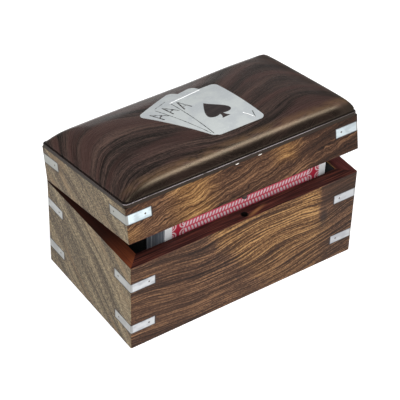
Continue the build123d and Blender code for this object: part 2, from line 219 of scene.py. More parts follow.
class Finish:
    """A material under construction."""

    def __init__(self, name):
        self.material = bpy.data.materials.new(name)
        self.material.use_nodes = True
        self.nodes = self.material.node_tree.nodes
        self.links = self.material.node_tree.links
        self.shader = self.nodes["Principled BSDF"]

    def plug(self, socket, value):
        if isinstance(value, Wire):
            self.links.new(value.socket, socket)
        else:
            socket.default_value = value

    def add(self, kind, values=(), output=0, stops=(), **settings):
        """Any node: its settings first, then the values or links of its sockets."""
        node = self.nodes.new(kind)
        for key, setting in settings.items():
            setattr(node, key, setting)
        if stops:
            elements = node.color_ramp.elements
            for element, (position, colour) in zip(elements, (stops[0], stops[-1])):
                element.position = position
                element.color = colour
            for position, colour in stops[1:-1]:
                elements.new(position).color = colour
        pairs = values.items() if isinstance(values, dict) else enumerate(values)
        for key, value in pairs:
            self.plug(node.inputs[key], value)
        return Wire(self, node.outputs[output])

    def place(self, on_lid=False):
        """The place on the shut box, in millimetres, as three wires."""
        here = self.add("ShaderNodeTexCoord", output=3)
        if on_lid:
            back = hinge @ Matrix.Rotation(AJAR, 4, "X") @ hinge.inverted()
            here = self.add(
                "ShaderNodeMapping",
                {0: here, 1: back.translation, 2: (AJAR, 0, 0), 3: (1000, 1000, 1000)},
            )
        else:
            here = self.add("ShaderNodeMapping", {0: here, 3: (1000, 1000, 1000)})
        return [self.add("ShaderNodeSeparateXYZ", (here,), output=n) for n in range(3)]

    def point(self, x, y, z):
        return self.add("ShaderNodeCombineXYZ", (x, y, z))

    def here(self, on_lid=False):
        """The same place as one vector."""
        return self.point(*self.place(on_lid))

    def noise(self, vector, stretch, detail=3.0, roughness=0.5, distortion=0.0):
        """Noise whose pattern is stretched by one number per axis."""
        scaled = self.add("ShaderNodeVectorMath", (vector, stretch), operation="MULTIPLY")
        sockets = {0: scaled, 2: 1.0, 3: detail, 4: roughness, 8: distortion}
        return self.add("ShaderNodeTexNoise", sockets)

    def step(self, value, low, high):
        """0 below low and 1 above high, with a smooth rise between."""
        values = (value, low, high)
        return self.add("ShaderNodeMapRange", values, interpolation_type="SMOOTHSTEP")

    def hill(self, value, middle, spread):
        """1 at the middle, falling smoothly to 0 at a distance of spread."""
        return 1 - self.step((value - middle).size(), 0.0, spread)

    def ramp(self, value, *stops):
        """A colour that runs through stops of position, red, green and blue."""
        stops = [(position, paint(*colour)) for position, *colour in stops]
        return self.add("ShaderNodeValToRGB", (value,), stops=stops)

    def mix(self, factor, first, second):
        """A blend of two wires or two triples of red, green and blue."""
        first, second = [paint(*c) if isinstance(c, tuple) else c for c in (first, second)]
        sockets = {0: factor, 6: first, 7: second}
        return self.add("ShaderNodeMix", sockets, output=2, data_type="RGBA")

    def bump(self, height, strength, distance):
        sockets = {"Strength": strength, "Distance": distance, "Height": height}
        return self.add("ShaderNodeBump", sockets)

    def set(self, **sockets):
        """Set or link sockets of the shader; a name's underscores are spaces."""
        for key, value in sockets.items():
            self.plug(self.shader.inputs[key.replace("_", " ")], value)


def paint(red, green, blue):
    """A colour of 0 to 255, as it looks on a screen, in the linear light of nodes."""
    parts = [c / 255 for c in (red, green, blue)]
    return [c / 12.92 if c < 0.04045 else ((c + 0.055) / 1.055) ** 2.4 for c in parts] + [1]


# %% [markdown]
# ## Rosewood
# The boards are sheesham, an Indian rosewood: brown heartwood with near-black
# pencil lines, golden patches where sapwood comes in, and short open pores. One
# function lays the pattern along a "level", a number that is constant along a
# growth line. A board bends its own level to give its sweep of grain, so no two
# boards show the same figure.


# %% The rosewood pattern
def rosewood(finish, along, level, depth, seed, gold=0.0, shade=0.0, contrast=1.0):
    """Colour, roughness and height of rosewood from its growth level."""
    grain = finish.point(along + seed, level, depth)
    broad = finish.noise(grain, (0.012, 0.2, 0.1), detail=2.0)
    lines = finish.noise(grain, (0.014, 1.35, 0.3), roughness=0.6)
    hairs = finish.noise(grain, (0.07, 2.6, 1.5), roughness=0.7)
    flecks = finish.noise(grain, (0.9, 2.2, 2.2), detail=2.0, roughness=0.7)
    warp = finish.noise(grain, (0.02, 0.12, 0.1), detail=2.0)
    ring = (level * 0.62 + warp * 5.0 + 200.0).wrap(1.0)
    strength = finish.noise(grain, (0.03, 0.4, 0.2), detail=1.0)
    pencil = finish.hill(ring, 0.5, 0.26) * finish.step(strength, 0.3, 0.62)
    value = (broad - 0.5) * 0.8 + (lines - 0.5) * 1.6 + (hairs - 0.5) * 1.2
    value = value + (flecks - 0.5) * 1.0 - pencil * 0.38
    value = value * contrast + 0.57 - shade
    heart = finish.ramp(
        value, (0.16, 24, 12, 6), (0.36, 46, 28, 18), (0.58, 72, 48, 33), (0.86, 128, 94, 66)
    )
    sapwood = finish.ramp(
        value, (0.16, 40, 22, 10), (0.36, 70, 44, 22), (0.58, 112, 78, 45), (0.86, 172, 134, 84)
    )
    colour = finish.mix(gold, heart, sapwood)
    pits = finish.step(flecks, 0.6, 0.74)
    roughness = 0.44 + hairs * 0.14 + pits * 0.1
    height = hairs * 0.7 + lines * 0.5 - pits * 0.5 - pencil * 0.4
    return colour, roughness, height


def beside_straps(colour, finish, x, y, z, middles, end_board):
    """Paint a thin line of shade round each strap, at the edge of its recess, and darken the
    stain beyond its leg.
    """
    reach = (y.size() - LEG_SIDE_END) if end_board else (x.size() - LEG_FRONT_END)
    painted_recess_shade = 0.0
    stain = 0.0
    for middle in middles:
        outside = ((z - middle).size() - STRAP_HALF).most(-reach)
        painted_recess_shade = (1 - finish.step(outside, 0.12, 0.6)) + painted_recess_shade
        stain = finish.hill(z - middle, 0.0, 3.4) * finish.hill(reach, -0.6, 3.2) + stain
    # painted shade: a thin dark line on the wood round each strap, for the shade at the edge of
    # its recess
    colour = finish.mix(painted_recess_shade * 0.85, colour, (34, 24, 21))
    return finish.mix(stain * 0.55, colour, (46, 33, 28))


def rim_red(finish, streak):
    """The reddish wood of a long sawn rim."""
    return finish.ramp(streak, (0.32, 24, 11, 10), (0.5, 50, 23, 20), (0.68, 88, 48, 38))


def oiled(finish, colour, roughness, height):
    """Set the finish of a board: oiled wood, with hardly any gloss over its grain."""
    finish.set(
        Base_Color=colour,
        Roughness=roughness,
        Normal=finish.bump(height, 0.5, 0.00008),
        Specular_IOR_Level=0.1,
    )
    return finish.material


# half the width of a strap, where its legs end, and the heights of the straps
STRAP_HALF = 2.4
LEG_FRONT_END = HALF_LENGTH - 12.6
LEG_SIDE_END = HALF_WIDTH - 13.4
BASE_STRAPS = (11.9, 36.6)
LID_STRAPS = (60.65,)

# %% [markdown]
# ### Front board of the base
# Its figure is the most striking one: the lines dip in a trough left of the
# middle, rise in a golden crest, and dive again round a small dark knot near the
# right end. The trough moves to the right lower down. Places across the board
# are counted from its left end.


# %% Finish of the base's front board
def base_front_finish():
    finish = Finish("rosewood_base_front")
    step, hill, mix, noise = finish.step, finish.hill, finish.mix, finish.noise
    x, y, z = finish.place()
    across = x + HALF_LENGTH
    flank = across + z * 0.97 - 93.0
    trough = step(across, -8.0, 46.0) * (1 - step(flank, -20.0, 20.0))
    trough = trough * hill(z, 27.0, 46.0)
    knot = hill(across, 106.0, 17.0) * hill(z, 31.0, 20.0)
    rise = step(across, 84.0, 128.0) * (1 - step(z, 20.0, 48.0))
    here = finish.point(x, y, z)
    wobble = noise(here, (0.05, 0.05, 0.07), detail=1.0)
    level = z + trough * 5.8 + knot * 4.0 - rise * 7.5 + wobble * 2.4
    ragged = (noise(here, (0.12, 0.1, 0.3)) - 0.5) * 12.0
    gold = step(across - (BASE_HEIGHT - z) * 0.72 + ragged, 36.0, 47.0)
    cut = step(across + ragged * 0.3, 102.0, 104.5) * step(z, 24.0, 31.0)
    gold = gold * (1 - cut.most(step(across + ragged, 98.0, 116.0)))
    gold = gold * (0.45 + step(z + ragged, 4.0, 34.0) * 0.55)
    bright = hill(across, 98.0, 12.0) * hill(z, 46.0, 14.0)
    bright = bright + hill(across, 46.0, 12.0) * hill(z, 42.0, 12.0)
    gold = (gold * (0.75 + bright * 0.25)).least(1.0)
    plain_patch = step(across, 103.0, 106.0) * step(z, 30.0, 40.0)
    left_part = 1 - step(across, 24.0, 46.0)
    shade = plain_patch * 0.06 + left_part * 0.02 - bright * 0.06
    shade = shade + step(across, 100.0, 112.0) * 0.07
    contrast = 1 - (plain_patch * 0.55).most(left_part * 0.3)
    colour, roughness, height = rosewood(finish, across, level, y, 0.0, gold, shade, contrast)
    blot = hill(across + ragged * 0.2, 106.0, 3.6) * hill(z, 29.5, 11.0)
    colour = mix(blot * 0.8, colour, (34, 25, 22))
    colour = beside_straps(colour, finish, x, y, z, BASE_STRAPS, False)
    top = step(z, BASE_HEIGHT - 0.25, BASE_HEIGHT - 0.1)
    streak = noise(here, (0.05, 1.6, 0.1))
    # a pale ray of the wood crosses the rim right of the hole
    ray = hill(y - (across - 63.5) * 0.28, -34.6, 1.5) * hill(across, 68.0, 8.0)
    red = mix(ray * 0.5, rim_red(finish, streak), (160, 112, 70))
    colour = mix(top, colour, red)
    from_hole = (x * x + (y - HOLE_Y) * (y - HOLE_Y)).power(0.5)
    # painted shade: the inside of the peg hole is painted near black
    painted_hole_shade = 1 - step(from_hole, HOLE_RADIUS + 0.05, HOLE_RADIUS + 0.5)
    colour = mix(painted_hole_shade, colour, (14, 9, 8))
    return oiled(finish, colour, roughness, height)


HOLE_Y = -32.55
HOLE_RADIUS = 1.5
base_front = base_front_finish()
dress("base_front_board", base_front)
print(base_front.name, len(base_front.node_tree.nodes), "nodes")

# %% [markdown]
# ### The other boards
# The left boards were cut so that their lines run down towards the front, and
# they look greyer and speckled. The lid's front board has golden patches left and
# right, darkens towards the right end and has two small pale spots below the
# panel. Back and right boards are not in the picture, so they take a calm sweep of
# their own. The seam between the lid's boards and the panel is a dark line.


# %% Finish of the other boards
def rim_colour(finish, here, end_board, x, y):
    """The reddish wood of the sawn rims; on the left board, painted shade behind its lit front
    end.
    """
    stretch = (1.6, 0.05, 0.1) if end_board else (0.05, 1.6, 0.1)
    streak = finish.noise(here, stretch)
    if not end_board:
        return rim_red(finish, streak)
    right_end = finish.step(x, -1.0, 1.0)
    # painted shade: the left board's rim is lit at its front end and painted darker towards the
    # back, under the open lid
    rim_painted_shade = finish.mix(finish.step(y, -34.0, -8.0), (108, 56, 34), (42, 23, 18))
    red = finish.mix(finish.step(streak, 0.35, 0.65), (50, 23, 23), (82, 40, 38))
    light = finish.mix(right_end, rim_painted_shade, red)
    return finish.mix(finish.step(streak, 0.6, 0.3) * 0.6, light, (56, 24, 18))


def lid_seam(finish, colour, z):
    """The dark line between a lid board and the panel above it."""
    seam = finish.step(z, LID_SEAT - PANEL_EDGE - 0.3, LID_SEAT - PANEL_EDGE - 0.1)
    return finish.mix(seam * 0.7, colour, (30, 20, 18))


def olive_wood(finish, here, grain, level, shade):
    """The grey, speckled wood of the left boards, with tawny parts."""
    step, hill, mix, noise = finish.step, finish.hill, finish.mix, finish.noise
    sweep = noise(grain, (0.01, 0.16, 0.1))
    strands = noise(grain, (0.04, 1.2, 0.5), roughness=0.7)
    speck = noise(here, (1.0, 0.6, 1.6), roughness=0.75)
    tone = 0.5 + (sweep - 0.5) + (strands - 0.5) * 1.3 + (speck - 0.5) * 1.9 - shade
    grey = finish.ramp(
        tone, (0.12, 34, 29, 24), (0.4, 76, 67, 54), (0.62, 108, 96, 76), (0.9, 158, 142, 112)
    )
    brown = mix(speck, (108, 88, 64), (156, 130, 96))
    tawny = step(noise(grain, (0.03, 0.1, 0.1), detail=2.0), 0.54, 0.68)
    grey = mix(tawny * 0.5, grey, brown)
    dark_line = hill(level, 48.5, 1.2) + hill(level, 40.5, 2.0) * 0.7
    return mix(dark_line.least(1.0) * 0.45, grey, (60, 50, 38))


def board_finish(name, on_lid, end_board, slope, bend, seed, olive, gold_start, shade):
    """Rosewood for a board; slope tilts its growth lines and bend bows them."""
    finish = Finish(name)
    x, y, z = finish.place(on_lid)
    along, depth = (y, x) if end_board else (x, y)
    here = finish.point(x, y, z)
    waver = finish.point(along + seed, z, depth)
    wobble = finish.noise(waver, (0.03, 0.05, 0.05), detail=2.0)
    level = z - along * slope + wobble * bend
    grain = finish.point(along + seed, level, depth)
    patch = finish.noise(grain, (0.03, 0.09, 0.05))
    gold = finish.step(patch, gold_start, gold_start + 0.12)
    colour, roughness, height = rosewood(finish, along, level, depth, seed, gold, shade)
    if olive:
        colour = finish.mix(olive, colour, olive_wood(finish, here, grain, level, shade))
    middles = LID_STRAPS if on_lid else BASE_STRAPS
    colour = beside_straps(colour, finish, x, y, z, middles, end_board)
    if on_lid:
        rim = 1 - finish.step(z, LID_RIM + 0.1, LID_RIM + 0.25)
        colour = lid_seam(finish, colour, z)
    else:
        rim = finish.step(z, BASE_HEIGHT - 0.25, BASE_HEIGHT - 0.1)
        # painted shade: a dark band along the foot of the board, where it meets the floor
        foot = 1 - finish.step(z, 0.3, 0.9)
        colour = finish.mix(foot * 0.6, colour, (34, 26, 22))
    colour = finish.mix(rim, colour, rim_colour(finish, here, end_board, x, y))
    return oiled(finish, colour, roughness, height)


def lid_front_finish():
    finish = Finish("rosewood_lid_front")
    step, hill, mix, noise = finish.step, finish.hill, finish.mix, finish.noise
    x, y, z = finish.place(True)
    across = x + HALF_LENGTH
    here = finish.point(x, y, z)
    wobble = noise(here, (0.06, 0.05, 0.1))
    level = z - across * 0.22 + wobble * 9.0
    ragged = (noise(here, (0.1, 0.1, 0.25)) - 0.5) * 9.0
    gold = hill(across + ragged, 34.0, 17.0)
    gold = gold + hill(across + ragged, 84.0, 11.0) * step(z + ragged, 54.0, 60.0)
    corner = hill(across, 1.0, 11.0) * (1 - step(z + ragged, 52.0, 59.0))
    gold = gold + corner * 0.6
    shade = step(across, 90.0, 104.0) * 0.1 - gold * 0.04
    gold = gold.least(1.0) * 0.9
    colour, roughness, height = rosewood(finish, across, level, y, 77.0, gold, shade, 0.68)
    colour = beside_straps(colour, finish, x, y, z, LID_STRAPS, False)
    colour = lid_seam(finish, colour, z)
    pale_spots = hill(across, 57.4, 1.6) + hill(across, 69.6, 1.8)
    pale_spots = pale_spots * hill(z, 66.2, 0.45)
    colour = mix(step(pale_spots, 0.25, 0.6), colour, (216, 208, 200))
    rim = 1 - step(z, LID_RIM + 0.1, LID_RIM + 0.25)
    colour = mix(rim, colour, rim_colour(finish, here, False, x, y))
    return oiled(finish, colour, roughness, height)


# node: on the lid, end board, slope, bend, seed, olive share, gold from, shade
board_looks = {
    "base_back_board": (False, False, 0.06, 9.0, 210.0, 0.0, 0.55, 0.0),
    "base_left_board": (False, True, 0.8, 10.0, 320.0, 0.9, 0.55, -0.04),
    "base_right_board": (False, True, -0.2, 9.0, 430.0, 0.0, 0.56, 0.0),
    "lid_back_board": (True, False, -0.05, 9.0, 650.0, 0.0, 0.56, 0.0),
    "lid_left_board": (True, True, 0.8, 10.0, 760.0, 0.85, 0.56, -0.07),
    "lid_right_board": (True, True, 0.2, 9.0, 870.0, 0.0, 0.56, 0.0),
}
for node, look in board_looks.items():
    dress(node, board_finish(f"rosewood_{node}", *look))
dress("lid_front_board", lid_front_finish())
print(len(board_looks) + 2, "boards finished")

# %% [markdown]
# ## Dark rosewood of the pillow
# The domed top is a darker piece, polished more than the sides. Its growth lines
# show as long arcs: they crest twice along the length, once left and once right
# of the inlay, and turn down steeply at the left end. The panel's square edge
# looks nearly black. Light and shade are painted on it too: a pale highlight on
# the arris at the front, deep shade in the crease above it, a golden highlight
# along the front roll and shade on the roll below it.


# %% Finish of the pillow
def pillow_finish():
    finish = Finish("dark_rosewood_pillow")
    step, hill, mix, noise = finish.step, finish.hill, finish.mix, finish.noise
    x, y, z = finish.place(on_lid=True)
    across = x + HALF_LENGTH
    back = y + HALF_WIDTH
    crest = ((across - 22.0) * 0.0739).cosine()
    left_end = (12.0 - across).most(0.0).power(2.0) * (back * 0.0015 + 0.02)
    right_end = (across - 108.0).most(0.0).power(2.0) * 0.05
    here = finish.point(x, y, z)
    wobble = noise(here, (0.04, 0.06, 0.05), detail=2.0)
    level = back - crest * (back * 0.1 + 3.0) + left_end + right_end + wobble * 5.0
    grain = finish.point(across, level, z * 0.3)
    broad = noise(grain, (0.012, 0.12, 0.1), detail=2.0)
    lines = noise(grain, (0.016, 0.8, 0.1), roughness=0.65)
    hairs = noise(grain, (0.08, 2.6, 1.0), roughness=0.7)
    flecks = noise(grain, (0.8, 2.4, 1.0), detail=2.0, roughness=0.7)
    value = 0.48 + (broad - 0.5) * 1.2 + (lines - 0.5) * 1.5 + (hairs - 0.5) * 1.5
    value = value + (flecks - 0.5) * 1.2
    fade = 1.0 - step(across, 36.0, 96.0) * 0.35
    value = (value - 0.5) * fade + 0.47
    colour = finish.ramp(
        value, (0.1, 22, 17, 16), (0.4, 45, 36, 34), (0.62, 65, 51, 47), (0.95, 96, 75, 67)
    )
    plum = noise(grain, (0.02, 0.1, 0.1), detail=2.0)
    colour = mix(step(plum, 0.44, 0.62) * 0.55, colour, (78, 54, 50))
    sheen = noise(here, (0.12, 0.5, 0.2), roughness=0.7)
    # painted highlight: a golden band along the front roll, broken up by noise
    painted_roll_highlight = hill(back, 5.0, 3.8) * step(across, -4.0, 10.0)
    painted_roll_highlight = painted_roll_highlight * step(sheen, 0.3, 0.62)
    colour = mix(painted_roll_highlight * 0.4, colour, (114, 88, 62))
    # painted shade: the lower part of the front roll is painted near black
    painted_roll_shade = 1 - step(back, 1.8, 3.8)
    colour = mix(painted_roll_shade * 0.85, colour, (18, 12, 10))
    edge = 1 - step(z, LID_SEAT - 0.12, LID_SEAT - 0.04)
    side = mix(hairs, (8, 5, 6), (28, 19, 19))
    colour = mix(edge, colour, side)
    # painted shade: a dark line in the crease where the pillow meets the ledge
    painted_crease_shade = hill(z, LID_SEAT + 0.15, 0.6)
    colour = mix(painted_crease_shade * 0.9, colour, (12, 9, 9))
    # painted highlight: a pale line on the panel's arris, strongest on the front and fading to
    # the right
    painted_arris_highlight = hill(z, LID_SEAT - 0.12, 0.13) * step(hairs, 0.25, 0.5)
    painted_arris_highlight = painted_arris_highlight * (step(-y, 33.5, 34.8) * 0.75 + 0.2)
    painted_arris_highlight = painted_arris_highlight * (1 - step(across, 92.0, 110.0) * 0.7)
    colour = mix(painted_arris_highlight, colour, (172, 162, 166))
    seam = 1 - step(z, LID_SEAT - PANEL_EDGE, LID_SEAT - PANEL_EDGE + 0.25)
    colour = mix(seam * 0.8, colour, (26, 18, 17))
    pits = step(flecks, 0.6, 0.74)
    dull = edge.most(step(across, 112.0, 119.0))
    finish.set(
        Base_Color=colour,
        Roughness=0.2 + hairs * 0.16 + pits * 0.14 + dull * 0.35,
        Normal=finish.bump(hairs * 0.6 + lines * 0.5 - pits * 0.5, 0.4, 0.00006),
        Specular_IOR_Level=0.35,
        Specular_Tint=(1.0, 0.8, 0.55, 1.0),
    )
    return finish.material


dark_rosewood = pillow_finish()

# %% [markdown]
# ## The pillow
# The real top is one panel: a square edge that lies flush on the frame, and above
# it a pillow sanded by hand, with long arches both ways and tight rolls at the
# edges that melt into each other at the corners. The left end was sanded softer
# and the right end tighter, and the crown sags a little along the back. A grid is
# raised by the lower of two arches, rounded where they meet. Its border is then
# drawn out and down for the panel's edge, and closed below. Underneath, the panel
# is hollow between the frame's boards, so that the felt and the cards have room.

# %% Height of the pillow
PILLOW_INSET = 0.9
PILLOW_CORNER = 2.0
EDGE_HEIGHT = 0.8
# the rolls at the edges: their radius, and their slope where they start
ROLL = 8.0
EDGE_SLOPE = math.radians(75.0)
LEFT_ROLL = 38.0
LEFT_SLOPE = math.radians(35.0)
RIGHT_INSET = 0.25
RIGHT_ROLL = 7.0
RIGHT_SLOPE = math.radians(84.0)
# slopes at which the crowns meet the rolls, in degrees
CROWN_ALONG = 5.5
CROWN_ACROSS = 8.0
# the lean of the crown to the right, and how deep and where its back sags
LEAN = 0.1
BACK_SAG = 0.8
SAG_BACK = (18.0, 32.0)
SAG_LEFT = (-64.0, -42.0)
SAG_RIGHT = (8.0, 40.0)
SAG_HEIGHT = 3.5
# over what difference of height the two arches blend, at the edge and on the crown
BLEND_EDGE = 0.5
BLEND_CROWN = 5.0


def arch(distance, half_span, crown_slope, roll=ROLL, edge_slope=EDGE_SLOPE):
    """Height of an arch, at a distance from its middle."""
    slope = math.radians(crown_slope)
    roll_start = half_span - roll * (math.sin(edge_slope) - math.sin(slope))
    roll_middle = half_span - roll * math.sin(edge_slope)
    foot = EDGE_HEIGHT - roll * math.cos(edge_slope)
    distance = min(abs(distance), half_span)
    if distance > roll_start:
        return foot + math.sqrt(roll**2 - (distance - roll_middle) ** 2)
    crown = roll_start / math.sin(slope)
    lift = foot + roll * math.cos(slope) - crown * math.cos(slope)
    return lift + math.sqrt(crown**2 - distance**2)


def smooth(value, low, high):
    """0 below low and 1 above high, with a smooth rise between."""
    share = min(max((value - low) / (high - low), 0.0), 1.0)
    return share * share * (3 - 2 * share)


def pillow_height(x, y):
    """Height of the pillow over the lid frame, its two arches blended."""
    half = HALF_LENGTH - PILLOW_INSET
    middle = arch(0, half, CROWN_ALONG)
    if x < 0:
        soft = arch(x, half, CROWN_ALONG, LEFT_ROLL, LEFT_SLOPE)
        along = min(arch(x, half, CROWN_ALONG), soft)
    else:
        half = HALF_LENGTH - RIGHT_INSET
        along = arch(x, half, CROWN_ALONG, RIGHT_ROLL, RIGHT_SLOPE)
        along = along * middle / arch(0, half, CROWN_ALONG, RIGHT_ROLL, RIGHT_SLOPE)
    along = along + LEAN * math.sin(math.pi * x / half)
    half_width = HALF_WIDTH - PILLOW_INSET
    across = arch(y, half_width, CROWN_ACROSS)
    low = min(along, across)
    sag = BACK_SAG * smooth(y, *SAG_BACK) * smooth(x, *SAG_LEFT) * (1 - smooth(x, *SAG_RIGHT))
    low = low - sag * smooth(low, EDGE_HEIGHT, SAG_HEIGHT)
    crown = arch(0, half_width, CROWN_ACROSS)
    reach = BLEND_EDGE + BLEND_CROWN * (1 - (low / crown) ** 2)
    meet = max(reach - abs(along - across), 0) / reach
    return max(low - meet * meet * reach / 4, EDGE_HEIGHT * 0.5)


print("pillow rises", round(pillow_height(0, 0), 2), "mm")


# %% Model the pillow
def round_corner(x, y, inset, radius):
    """Draw a point in a corner of the outline onto a round corner."""
    middle_x = HALF_LENGTH - inset - radius
    middle_y = HALF_WIDTH - inset - radius
    if x > 0:
        middle_x = middle_x + PILLOW_INSET - RIGHT_INSET
    dx = abs(x) - middle_x
    dy = abs(y) - middle_y
    if dx <= 0 or dy <= 0:
        return x, y
    draw = max(dx, dy) / math.hypot(dx, dy)
    return (
        math.copysign(middle_x + dx * draw, x),
        math.copysign(middle_y + dy * draw, y),
    )


bm = bmesh.new()
bmesh.ops.create_grid(bm, x_segments=112, y_segments=72, size=1.0)
border = [edge for edge in bm.edges if edge.is_boundary]
for vert in bm.verts:
    half = HALF_LENGTH - (RIGHT_INSET if vert.co.x > 0 else PILLOW_INSET)
    x = half * math.sin(vert.co.x * math.pi / 2)
    y = (HALF_WIDTH - PILLOW_INSET) * math.sin(vert.co.y * math.pi / 2)
    x, y = round_corner(x, y, PILLOW_INSET, PILLOW_CORNER)
    vert.co = (x, y, LID_SEAT + pillow_height(x, y))

# from the crease round the arris to the frame: how far in, and how high
inset_now = PILLOW_INSET
edge_rounds = (
    (PILLOW_INSET, 0.0),
    (0.3, 0.0),
    (0.1, -0.06),
    (0.02, -0.18),
    (0.0, -0.36),
    (0.0, -0.44),
    (0.0, -PANEL_EDGE),
)
for inset, level in edge_rounds:
    made = bmesh.ops.extrude_edge_only(bm, edges=border)["geom"]
    border = [edge for edge in only(BMEdge, made) if edge.is_boundary]
    ring = {vert for edge in border for vert in edge.verts}
    grow_x = (HALF_LENGTH - inset) / (HALF_LENGTH - inset_now)
    grow_y = (HALF_WIDTH - inset) / (HALF_WIDTH - inset_now)
    for vert in ring:
        x = vert.co.x * grow_x
        if vert.co.x > 0:
            right_now, right = min(inset_now, RIGHT_INSET), min(inset, RIGHT_INSET)
            x = vert.co.x * (HALF_LENGTH - right) / (HALF_LENGTH - right_now)
        vert.co = (x, vert.co.y * grow_y, LID_SEAT + level)
    inset_now = inset
underside = bmesh.ops.contextual_create(bm, geom=border)["faces"]

# %% Hollow the underside
# cut the flat underside along the frame's inner faces and lift its middle
inner_length = Vector((HALF_LENGTH - BOARD, 0, 0))
inner_width = Vector((0, HALF_WIDTH - BOARD, 0))
for wall in (-inner_length, inner_length, -inner_width, inner_width):
    around = {edge for face in underside for edge in face.edges}
    geometry = underside + list(around)
    cut = bmesh.ops.bisect_plane(bm, geom=geometry, plane_co=wall, plane_no=wall.normalized())
    underside = only(BMFace, cut["geom"])
middle = min(underside, key=lambda face: face.calc_center_median().length_squared)
ceiling = bmesh.ops.extrude_discrete_faces(bm, faces=[middle])["faces"][0]
bmesh.ops.translate(bm, vec=(0, 0, PANEL_EDGE), verts=ceiling.verts)
print("hollow of", round(ceiling.calc_area(), 1), "mm2 in the underside")
bmesh.ops.recalc_face_normals(bm, faces=bm.faces)
finish_piece("pillow", bm, "lid", [dark_rosewood], ["lid_top"], 40)

# %% [markdown]
# ## Metal inlay
# A fan of three cards of light metal is let into the pillow. It is one sheet, and
# the edges of the cards and their index marks are engraved lines filled with dark
# wax; two lines are painted near white as highlights. So the outline is three flat
# plates joined, the lines are cut as V-shaped grooves, and the sheet is then cut
# into strips and laid over the pillow by lifting every point by the pillow's height.


# %% Finish of the light metal
def strap_edges(finish, x, y, z, middles):
    """1 in the thin dark outline of a strap, 0 inside it, and the bent corner."""
    side_leg = finish.step(x.size(), HALF_LENGTH - 1.0, HALF_LENGTH - 0.9)
    from_end = x.size() - LEG_FRONT_END
    from_end = from_end + side_leg * (y.size() - LEG_SIDE_END - from_end)
    nearest = BASE_HEIGHT
    for middle in middles:
        nearest = (z - middle).size().least(nearest)
    from_edge = from_end.least(STRAP_HALF - nearest)
    outline = 1 - finish.step(from_edge, 0.12, 0.42)
    corner = finish.step(x.size(), HALF_LENGTH - 1.3, HALF_LENGTH - 0.4)
    corner = corner * finish.step(y.size(), HALF_WIDTH - 1.3, HALF_WIDTH - 0.4)
    return outline, corner, side_leg


def metal_finish(name, bright, dull, roughness, middles=(), on_lid=False):
    """Brushed light metal with a few cloudy patches and fine scratches."""
    finish = Finish(name)
    x, y, z = finish.place(on_lid)
    here = finish.point(x, y, z)
    cloud = finish.noise(here, (0.2, 0.2, 0.35))
    scratch = finish.noise(here, (0.4, 3.0, 1.6), roughness=0.7)
    tint = finish.mix(finish.step(cloud, 0.42, 0.62), bright, dull)
    metallic = 0.75
    if middles:
        outline, corner, side_leg = strap_edges(finish, x, y, z, middles)
        # painted shade: the legs on the ends of the box are painted greyer than the front legs,
        # on the lid nearly all the way
        tint = finish.mix(side_leg * (0.95 if on_lid else 0.55), tint, (146, 146, 140))
        # the straps are also greyer towards the right end and at the bent corner
        tint = finish.mix(finish.step(x, 40.0, 58.0) * 0.4, tint, (150, 152, 156))
        tint = finish.mix(corner * 0.45, tint, (120, 122, 122))
        # painted shade: a thin dark line along the strap's edges, for the shade of the recess it
        # sits in
        tint = finish.mix(outline * 0.7, tint, (70, 66, 64))
        metallic = 0.75 - outline * 0.4
    finish.set(
        Base_Color=tint,
        Metallic=metallic,
        Roughness=roughness + cloud * 0.15 + scratch * 0.12,
        Normal=finish.bump(scratch, 0.2, 0.00004),
    )
    return finish.material


# painted light: base and lid straps are one metal, but the lid's are given a lighter, bluer
# colour
base_aluminium = metal_finish(
    "aluminium_base", (183, 185, 187), (161, 163, 167), 0.38, BASE_STRAPS
)
lid_aluminium = metal_finish(
    "aluminium_lid", (200, 212, 216), (176, 188, 192), 0.38, LID_STRAPS, True
)


def inlay_finish():
    """Duller sheet metal, clouded, with bright specks where it was rubbed."""
    finish = Finish("inlay_metal")
    here = finish.here(on_lid=True)
    cloud = finish.noise(here, (0.11, 0.11, 0.11))
    rubbed = finish.noise(here, (0.9, 0.9, 0.9), roughness=0.7)
    tint = finish.mix(finish.step(cloud, 0.4, 0.62), (208, 213, 212), (196, 201, 203))
    tint = finish.mix(finish.step(rubbed, 0.58, 0.74) * 0.5, tint, (240, 242, 242))
    finish.set(
        Base_Color=tint,
        Metallic=0.15,
        Roughness=0.42 + cloud * 0.12,
        Normal=finish.bump(rubbed, 0.12, 0.00004),
    )
    return finish.material


def clouded(
    name, grain, span, first, second, roughness, gloss_drift=0.2, on_lid=True, detail=3.0, **more
):
    """A material whose colour and gloss drift like a cloud."""
    finish = Finish(name)
    cloud = finish.noise(finish.here(on_lid), (grain, grain, grain), detail=detail)
    colour = finish.mix(finish.step(cloud, *span), first, second)
    finish.set(Base_Color=colour, Roughness=roughness + cloud * gloss_drift, **more)
    return finish.material


# dark wax and tarnish for the engraved lines, and a near-white painted highlight for the two
# bright ones
wax = clouded("engraving_wax", 0.7, (0.42, 0.62), (36, 38, 38), (140, 144, 144), 0.5)
painted_highlight_lines = clouded(
    "painted_highlight_lines", 0.5, (0.3, 0.5), (214, 218, 218), (252, 253, 253), 0.35, detail=2.0
)
inlay_materials = [inlay_finish(), wax, painted_highlight_lines]
WAX, BRIGHT = 1, 2

# %% Model the fan of cards
FAN_CORNER = Vector((55.8 - HALF_LENGTH, 12.3 - HALF_WIDTH, 0))
CARD_WIDTH = 26.6
CARD_HEIGHT = 40.6
CARD_ROUND = 2.8
FAN_STEP = math.radians(13.0)
SHEET = 0.5
SHEET_PROUD = 0.22
STRIP = 3.0
INDEX_WIDTH = 0.7
LINE_WIDTH = 0.4
BRIGHT_WIDTH = 0.6


